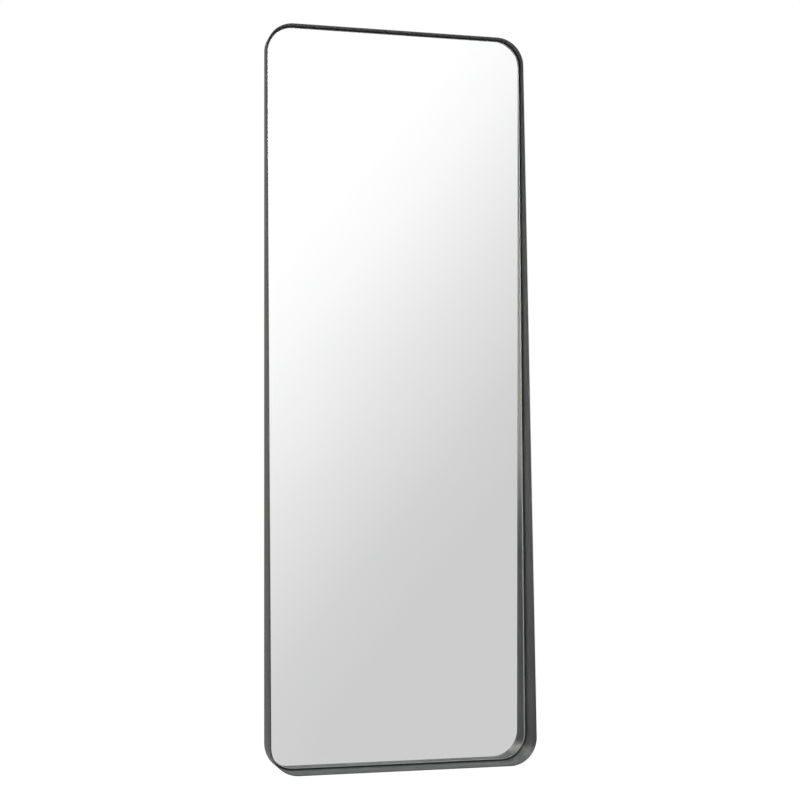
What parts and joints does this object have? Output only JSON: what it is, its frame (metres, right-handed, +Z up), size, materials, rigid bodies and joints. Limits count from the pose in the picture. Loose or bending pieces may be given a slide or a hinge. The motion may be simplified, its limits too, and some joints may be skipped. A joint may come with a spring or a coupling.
{
  "type": "full-length mirror",
  "caption": "Tall wall mirror with a recessed rounded pane in a thin dark metal band that is shallow at the top and deep at the bottom, hung by swinging D-rings.",
  "frame": {"origin": "centre of the bounding box in X and Y, at the underside of the band in Z", "axes": "+X to the right seen from the front, +Y from the viewer to the wall, +Z up"},
  "size_m": [0.6, 0.088, 1.65],
  "materials": {
    "band_metal": "dark brushed metal, satin",
    "mirror_glass": "silvered, ground and polished edge",
    "safety_film": "matt film",
    "foam_tape": "closed-cell foam",
    "board": "fibreboard painted black, matt",
    "sub_frame": "black powder coat, fine texture",
    "fastener": "zinc plated",
    "hanger_steel": "zinc plated",
    "bumper_rubber": "matt"
  },
  "bodies": {
    "frame": {"frame_band": "band_metal", "mirror_glass": "mirror_glass", "safety_film": "safety_film", "mounting_tape": "foam_tape", "back_board": "board", "upper_rail": "sub_frame", "lower_rail": "sub_frame", "mounting_lugs": "sub_frame", "board_screws": "fastener", "hanger_strap_left": "hanger_steel", "hanger_strap_right": "hanger_steel", "hanger_screws": "fastener", "wall_bumpers": "bumper_rubber"},
    "ring_left": {"hanger_ring_left": "hanger_steel"},
    "ring_right": {"hanger_ring_right": "hanger_steel"}
  },
  "joints": [
    {"name": "ring_left_swing", "type": "hinge", "parent": "frame", "child": "ring_left", "pos_m": [-0.2, 0.03875, 1.3965], "axis": [1, 0, 0], "range_deg": [0, 180]},
    {"name": "ring_right_swing", "type": "hinge", "parent": "frame", "child": "ring_right", "pos_m": [0.2, 0.03875, 1.3965], "axis": [1, 0, 0], "range_deg": [0, 180]}
  ]
}
